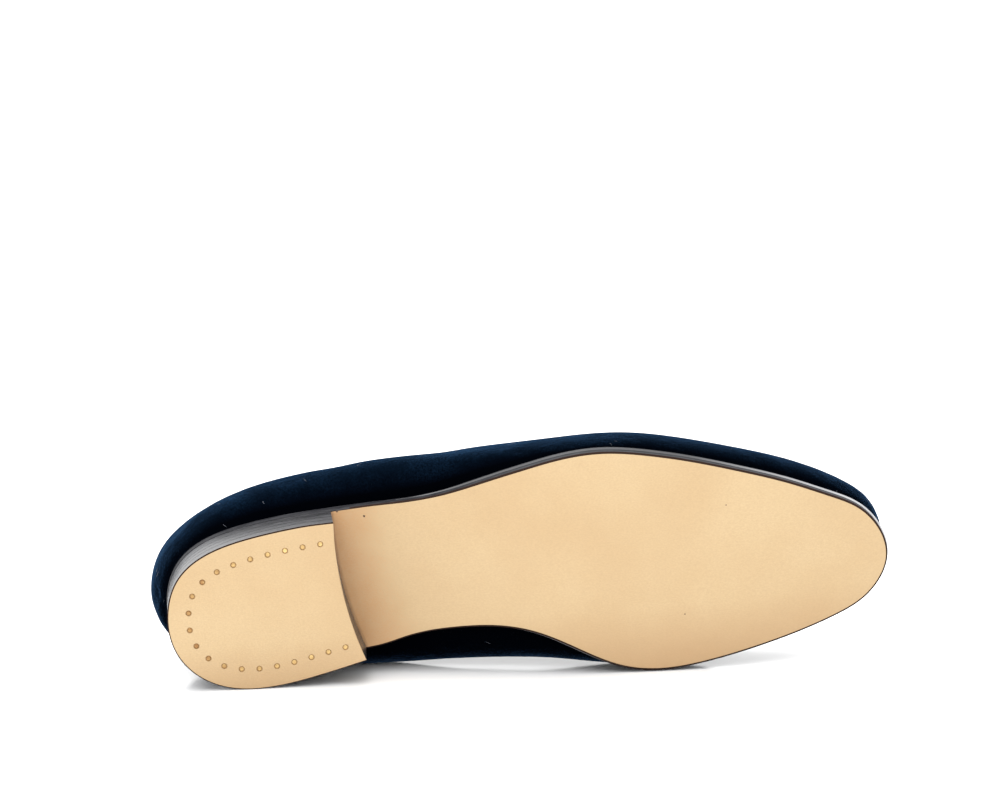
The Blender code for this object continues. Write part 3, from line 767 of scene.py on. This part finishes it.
# %% Make the velvet
VELVET = (0.0016, 0.0046, 0.0105)
VELVET_LIT = (0.0044, 0.0140, 0.0320)
VELVET_PAINTED_SHADE = (0.0003, 0.0005, 0.0011)
VELVET_SHEEN = {"Sheen_Weight": 0.62, "Sheen_Roughness": 0.24, "Sheen_Tint": (0.060, 0.140, 0.285, 1.0)}
PRESSED_NOISE, PRESSED_RANGE, PRESSED_RELIEF = (60.0, 5.0, 0.6), (0.42, 0.66), (0.0012, 0.35)
PILE_NOISE, PILE_RANGE, PILE_RELIEF = (1500.0, 4.0, 0.75), (0.40, 0.62), (0.00030, 0.9)
PILE_SHADE = 0.45
INNER_SIDE_SHADE_RANGE = (-0.004, 0.026)
SOLE_SHADE_RANGE = (0.003, 0.016)

velvet, velvet_tree, velvet_shader = new_finish(
    "velvet", VELVET, roughness=0.9, Specular_IOR_Level=0.0, **VELVET_SHEEN
)
velvet_place = shoe_coordinates(velvet_tree)
pressed = ranged(velvet_tree, noise(velvet_tree, velvet_place, *PRESSED_NOISE), *PRESSED_RANGE)
pile = noise(velvet_tree, velvet_place, *PILE_NOISE)
threads = ranged(velvet_tree, pile, *PILE_RANGE)
velvet_colour = mixed(velvet_tree, pressed, VELVET, VELVET_LIT)
velvet_colour = mixed(velvet_tree, threads, shaded(PILE_SHADE, VELVET), velvet_colour)
# Painted shade: the velvet is made darker on the inner side, which faces the table.
inner_side_shade = ranged(velvet_tree, coordinate(velvet_tree, velvet_place, "Y"), *INNER_SIDE_SHADE_RANGE)
velvet_colour = mixed(velvet_tree, inner_side_shade, velvet_colour, VELVET_PAINTED_SHADE)
# Painted shade: the velvet is made darker close to the sole, in the corner where it meets the sole's
# edge.
sole_shade = ranged(velvet_tree, attribute(velvet_tree, NEAR_SOLE), *SOLE_SHADE_RANGE)
velvet_colour = mixed(velvet_tree, sole_shade, VELVET_PAINTED_SHADE, velvet_colour)
velvet_tree.links.new(velvet_colour, velvet_shader.inputs["Base Color"])
leaning = bumped(velvet_tree, velvet_shader, pressed, *PRESSED_RELIEF)
bumped(velvet_tree, velvet_shader, pile, *PILE_RELIEF, leaning)
print("velvet ready")

# %% [markdown]
# ## The upper
#
# The solid is one wall: velvet outside, leather lining inside, stiffeners between. The copy keeps
# the wall, and the faces that look into the shoe get the lining's leather. They are found from the
# opening: the fill starts at the rim's inner faces and stops at real edges. A second edge loop is cut
# just below the rim, where the binding will end.

# %% Dress the upper
LINING = (0.52, 0.33, 0.18)
LINING_DEEP = (0.44, 0.26, 0.13)
VELVET_SIDE = 0
LINING_SIDE = 1
UPPER_CREASE_ANGLE = math.radians(50.0)
UPPER_CREASE = 0.6
RIM_LOWEST = 40.0
WALL_SLANT = 0.6
BAND_WIDTH = 3.3 * MM

lining_leather = leather_finish("lining leather", LINING, LINING_DEEP, roughness=0.55)


def height(vertex):
    """Height of a vertex over the ground under a standing shoe, in millimetres."""
    return shoe_points([vertex.co])[0][2]


def rim_vertices(mesh):
    """Vertices of the two sharp edges round the opening for the foot."""
    sharp = [edge for edge in mesh.edges if edge.calc_face_angle(0.0) > UPPER_CREASE_ANGLE]
    return {v for edge in sharp if min(map(height, edge.verts)) > RIM_LOWEST for v in edge.verts}


def rim_middle(rim):
    """Mean place of the vertices round the opening."""
    return sum((v.co for v in rim), Vector()) / len(rim)


def cut_band_line(mesh, rim):
    """Cuts one more edge loop below the rim, on both sides of the wall."""
    down = [edge for edge in mesh.edges if (edge.verts[0] in rim) != (edge.verts[1] in rim)]
    shares = {}
    for edge in down:
        share = BAND_WIDTH / edge.calc_length()
        shares[edge] = share if edge.verts[0] in rim else 1.0 - share
    cut = bmesh.ops.bisect_edges(mesh, edges=down, cuts=1, edge_percents=shares)
    loop = [part for part in cut["geom_split"] if isinstance(part, bmesh.types.BMVert)]
    bmesh.ops.connect_verts(mesh, verts=loop)


def mark_lining(mesh, rim):
    """Gives the lining's material to the faces that look into the shoe."""
    middle = rim_middle(rim)
    inner = {face for v in rim for face in v.link_faces
             if face.normal.dot(middle - face.calc_center_median()) > 0.0
             and abs(face.normal.dot(SHOE_UP)) < WALL_SLANT}
    spread = list(inner)
    while spread:
        face = spread.pop()
        for edge in face.edges:
            if edge.calc_face_angle(0.0) > UPPER_CREASE_ANGLE:
                continue
            for other in edge.link_faces:
                if other not in inner:
                    inner.add(other)
                    spread.append(other)
    for face in inner:
        face.material_index = LINING_SIDE
    return len(inner)


upper_mesh = merged_cage("upper")
cut_band_line(upper_mesh, rim_vertices(upper_mesh))
lined = mark_lining(upper_mesh, rim_vertices(upper_mesh))
print("faces inside the shoe:", lined, "of", len(upper_mesh.faces))
band_mesh = upper_mesh.copy()
mark_creases(upper_mesh, UPPER_CREASE_ANGLE, UPPER_CREASE, False)
upper = smoothed(new_piece("velvet_upper", upper_mesh, (velvet, lining_leather)), 2)
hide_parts("upper")
# The velvet's painted shade near the sole follows this distance.
measure_distance(upper, NEAR_SOLE, outsole)

# %% [markdown]
# ## Creases
#
# The cloth was pulled over the last and glued, and later handled. It has a back seam, a fold over the
# counter where the heel was gripped, soft waves along the quarters and two shallow bends across the
# vamp. Each is a trough or a ridge along a line through a few given points, in millimetres of the
# shoe's own frame. The line is laid onto the surface, and the vertices near it move along their
# normals by a bell curve that fades at the line's ends. Sculpting by hand would do the same but could
# not be repeated.

# %% Press in the creases
TROUGHS_AND_RIDGES = [
    # depth, half width, points
    (-0.55, 0.8, [(1.0, 5.4, 77.0), (-1.0, 5.4, 60.0), (-4.0, 5.4, 40.0), (-2.0, 5.4, 24.0)]),
    (-0.90, 3.0, [(-3.6, 1.8, 27.7), (-2.2, 2.9, 25.6), (0.5, 0.0, 21.0)]),
    (-0.80, 3.4, [(-6.0, 8.0, 36.0), (-3.6, 1.8, 30.0), (2.0, -9.0, 30.0)]),
    (0.50, 4.0, [(2.0, -10.0, 38.0), (8.0, -20.0, 36.0), (18.0, -27.0, 40.0)]),
    (-0.60, 4.5, [(8.0, -19.5, 52.0), (20.0, -27.0, 50.0), (34.0, -31.0, 47.0)]),
    (-0.50, 7.0, [(60.0, -30.0, 58.0), (66.0, -35.0, 46.0), (70.0, -38.0, 34.0)]),
    (-0.50, 7.0, [(96.0, -30.0, 62.0), (104.0, -36.0, 48.0), (110.0, -40.0, 34.0)]),
    (-0.60, 7.0, [(58.0, 31.0, 56.0), (64.0, 35.0, 44.0), (70.0, 34.0, 32.0)]),
    (-0.60, 7.0, [(92.0, 28.0, 62.0), (100.0, 32.0, 48.0), (108.0, 33.0, 36.0)]),
    (-0.95, 3.2, [(166.0, -38.0, 30.0), (172.0, -20.0, 50.0), (172.0, 6.0, 55.0), (164.0, 32.0, 38.0)]),
    (-0.75, 2.8, [(180.0, -36.0, 28.0), (186.0, -16.0, 47.0), (185.0, 10.0, 50.0), (176.0, 36.0, 32.0)]),
    (0.45, 3.6, [(173.0, -36.0, 32.0), (179.0, -18.0, 49.0), (178.0, 8.0, 53.0), (170.0, 33.0, 36.0)]),
]
LINE_STEP = 0.002
FADE_POWER = 0.6


def laid_line(tree, points):
    """Points along a line through given points, laid onto a surface."""
    corners = [tree.find_nearest(room_point(*point))[0] for point in points]
    line = []
    for start, end in zip(corners, corners[1:]):
        steps = max(2, int((end - start).length / LINE_STEP))
        line += [tree.find_nearest(start.lerp(end, i / steps))[0] for i in range(steps)]
    return np.array(line + [corners[-1]])


def press(piece, troughs_and_ridges, side):
    """Moves the vertices of one side of a piece along their normals, near each line."""
    data = piece.data
    tree = surface_tree(piece)
    places = vertex_places(data)
    normals = np.array([v.normal for v in data.vertices])
    outside = np.zeros(len(places), bool)
    for polygon in data.polygons:
        if polygon.material_index == side:
            outside[list(polygon.vertices)] = True
    moves = np.zeros(len(places))
    for depth, half_width, points in troughs_and_ridges:
        line = laid_line(tree, points)
        gaps = np.linalg.norm(places[:, None, :] - line[None, :, :], axis=2)
        nearest = gaps.argmin(axis=1)
        fade = np.sin(math.pi * (nearest + 0.5) / len(line)) ** FADE_POWER
        moves += depth * MM * fade * np.exp(-((gaps.min(axis=1) / (half_width * MM)) ** 2))
    moves *= outside
    data.vertices.foreach_set("co", (places + normals * moves[:, None]).ravel())
    data.update()
    print(piece.name, "pressed in by up to, mm:", round(-moves.min() / MM, 2))


press(upper, TROUGHS_AND_RIDGES, VELVET_SIDE)

# %% [markdown]
# ## The binding of the opening
#
# The raw edge of velvet and lining is wrapped in a narrow ribbon, folded over the rim and sewn
# through. The faces round the rim are copied off the wall as they are, thickened outwards like a
# folded ribbon, and smoothed. Building the ribbon from its own path would mean finding the wall's
# lean at every point again. Its weave shows as fine ribs, which are a wave in colour and relief.

# %% Make the ribbon's finish
RIBBON = (0.0018, 0.0026, 0.0062)
RIBBON_LIT = (0.0060, 0.0085, 0.0175)
RIBBON_SHEEN = {"Sheen_Weight": 0.03, "Sheen_Roughness": 0.4, "Sheen_Tint": (0.25, 0.38, 0.7, 1.0)}
RIB_SCALE, RIB_WAVER, RIB_RELIEF = 520.0, 0.4, (0.00015, 0.7)

ribbon, ribbon_tree, ribbon_shader = new_finish(
    "ribbon", RIBBON, roughness=0.62, Specular_IOR_Level=0.10, **RIBBON_SHEEN
)
ribs = add_node(
    ribbon_tree, "ShaderNodeTexWave", {"Vector": shoe_coordinates(ribbon_tree)},
    bands_direction="X", Scale=RIB_SCALE, Distortion=RIB_WAVER,
).outputs["Fac"]
ribbon_tree.links.new(mixed(ribbon_tree, ribs, RIBBON, RIBBON_LIT), ribbon_shader.inputs["Base Color"])
bumped(ribbon_tree, ribbon_shader, ribs, *RIB_RELIEF)
print("ribbon ready")

# %% Fold the ribbon over the rim
RIBBON_THICKNESS = 0.5 * MM

band_rim = rim_vertices(band_mesh)
off_band = [face for face in band_mesh.faces if not band_rim.intersection(face.verts)]
bmesh.ops.delete(band_mesh, geom=off_band, context="FACES")
bmesh.ops.recalc_face_normals(band_mesh, faces=band_mesh.faces)
for face in band_mesh.faces:
    face.material_index = 0
bmesh.ops.solidify(band_mesh, geom=band_mesh.faces[:], thickness=-RIBBON_THICKNESS)
binding = smoothed(new_piece("collar_binding", band_mesh, (ribbon,)), 2)

# %% [markdown]
# ## Stitches
#
# One row of lockstitch holds the ribbon, a millimetre above its lower edge. A stitch is a short
# stretched ball, sunk into the ribbon by its own half. There are over a hundred, so each has only a
# few faces. They are laid along the ribbon's own surface: a line is walked round the opening at a
# fixed distance below the rim, and laid onto the ribbon.

# %% Make the thread's finish
THREAD = (0.006, 0.009, 0.021)
THREAD_LIT = shaded(2.0, THREAD)
TWIST_SCALE, TWIST_RELIEF = 900.0, (0.00008, 0.6)

thread, thread_tree, thread_shader = new_finish("thread", THREAD, roughness=0.5, Specular_IOR_Level=0.4)
twist = add_node(
    thread_tree, "ShaderNodeTexWave", {"Vector": shoe_coordinates(thread_tree)},
    bands_direction="DIAGONAL", Scale=TWIST_SCALE,
).outputs["Fac"]
thread_tree.links.new(mixed(thread_tree, twist, THREAD, THREAD_LIT), thread_shader.inputs["Base Color"])
bumped(thread_tree, thread_shader, twist, *TWIST_RELIEF)
print("thread ready")

# %% Sew the binding
STITCH_PITCH = 2.4 * MM
STITCH_LENGTH = 1.7 * MM
STITCH_WIDTH = 0.38 * MM
STITCH_BELOW_RIM = 2.4 * MM
STITCH_SEGMENTS, STITCH_RINGS = 8, 5


def ring_in_order(start, edges):
    """Points of one closed edge loop, in order round it."""
    ring, seen = [start], {start}
    while True:
        following = [e.other_vert(ring[-1]) for e in ring[-1].link_edges if e in edges]
        following = [v for v in following if v not in seen]
        if not following:
            return [v.co.copy() for v in ring]
        seen.add(following[0])
        ring.append(following[0])


def even_points(ring, step):
    """Points at even steps round a closed ring."""
    corners = np.array(ring + ring[:1])
    lengths = np.linalg.norm(np.diff(corners, axis=0), axis=1)
    walked = np.concatenate([[0.0], np.cumsum(lengths)])
    count = int(walked[-1] / step)
    stations = np.linspace(0.0, walked[-1], count, endpoint=False)
    places = np.array([np.interp(stations, walked, corners[:, axis]) for axis in range(3)]).T
    return [Vector(p) for p in places]


def stitch_row(name, path, tree, finish):
    """Row of stitches along a closed path, sunk into a surface."""
    row = bmesh.new()
    size = Matrix.Diagonal((STITCH_LENGTH / 2.0, STITCH_WIDTH / 2.0, STITCH_WIDTH / 2.0, 1.0))
    for here, following in zip(path, path[1:] + path[:1]):
        place, facing, _, _ = tree.find_nearest(here)
        along = following - here
        along = (along - facing * along.dot(facing)).normalized()
        turn = Matrix((along, facing.cross(along), facing)).transposed().to_4x4()
        bmesh.ops.create_uvsphere(
            row, u_segments=STITCH_SEGMENTS, v_segments=STITCH_RINGS, radius=1.0,
            matrix=Matrix.Translation(place) @ turn @ size,
        )
    made = new_piece(name, row, (finish,))
    print(name, "stitches:", len(path))


row_mesh = merged_cage("upper")
row_rim = rim_vertices(row_mesh)
row_edges = {e for v in row_rim for e in v.link_edges if e.calc_face_angle(0.0) > UPPER_CREASE_ANGLE}
row_middle = rim_middle(row_rim)
outer_start = max(row_rim, key=lambda v: (v.co - row_middle).length)
outer_ring = ring_in_order(outer_start, row_edges)
row_mesh.free()
below = [
    point - SHOE_UP * STITCH_BELOW_RIM + (point - row_middle).normalized() * MM for point in outer_ring
]
stitch_row("binding_stitches", even_points(below, STITCH_PITCH), surface_tree(binding), thread)

# %% [markdown]
# ## The sock
#
# Inside, a leather sock covers the insole from heel to toe. It is glued flat, so the insole's own
# form, smoothed, stands for both. A separate thin sheet would hide the same surface and show no more.

# %% Cover the insole
INSOLE_CREASE = 0.8

insole_mesh = merged_cage("insole")
mark_creases(insole_mesh, UPPER_CREASE_ANGLE, INSOLE_CREASE, False)
insole = smoothed(new_piece("leather_sock", insole_mesh, (lining_leather,)), 2)
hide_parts("insole")

# %% [markdown]
# ## Small marks
#
# Two tacks near the heel have left dark dots in the waist, and a few specks sit on the forepart. Lint
# clings to the pile. A dot is a flat ball pressed into the leather, a bit of lint a very thin one that
# lies on the cloth. Two of the lint hairs have given places, the others are strewn. Marks painted
# into the finishes would have no thickness and catch no light of their own.

# %% Set the dots and strew the lint
DOTS = [
    # radius, point in the shoe's frame
    (0.42, (74.7, -25.7, 16.6)),
    (0.38, (64.9, -28.3, 17.3)),
    (0.26, (189.1, 18.6, 0.1)),
    (0.24, (206.8, -21.2, 0.8)),
]
DOT_FLATNESS = 0.18
LINT_HAIRS = [(23.5, -25.0, 24.1), (54.6, -37.3, 33.0)]
LINT_COUNT = 60
LINT_LENGTH = (0.5, 1.8)
LINT_WIDTH = 0.024
BALL_SEGMENTS, BALL_RINGS = 10, 6

dot_brown, _, _ = new_finish("dot brown", (0.060, 0.028, 0.016), roughness=0.7)
lint_grey, _, _ = new_finish("lint grey", (0.22, 0.23, 0.26), roughness=0.9)


def lay_ball(mesh, tree, point, size, turn=0.0):
    """Adds a stretched ball that lies on a surface, its size in millimetres along, across and up."""
    place, facing, _, _ = tree.find_nearest(point)
    along = facing.orthogonal().normalized()
    axes = Matrix((along, facing.cross(along), facing)).transposed()
    axes = axes @ Matrix.Rotation(turn, 3, "Z") @ Matrix.Diagonal(Vector(size) * MM)
    bmesh.ops.create_uvsphere(
        mesh, u_segments=BALL_SEGMENTS, v_segments=BALL_RINGS, radius=1.0,
        matrix=Matrix.Translation(place) @ axes.to_4x4(),
    )


dots_mesh = bmesh.new()
outsole_tree = surface_tree(outsole)
for radius, point in DOTS:
    lay_ball(dots_mesh, outsole_tree, room_point(*point), (radius, radius, DOT_FLATNESS * radius))
dots = new_piece("tack_dots", dots_mesh, (dot_brown,))

lint_mesh = bmesh.new()
upper_tree = surface_tree(upper)
pile_side = [polygon for polygon in upper.data.polygons if polygon.material_index == VELVET_SIDE]
picked = hand.choice(len(pile_side), LINT_COUNT, replace=False)
lint_places = [room_point(*point) for point in LINT_HAIRS] + [pile_side[i].center for i in picked]
for place in lint_places:
    length = hand.uniform(*LINT_LENGTH)
    lay_ball(lint_mesh, upper_tree, place, (length, LINT_WIDTH, LINT_WIDTH), hand.uniform(0.0, math.pi))
lint = new_piece("lint", lint_mesh, (lint_grey,))
print("dots:", len(DOTS), "bits of lint:", len(lint_places))
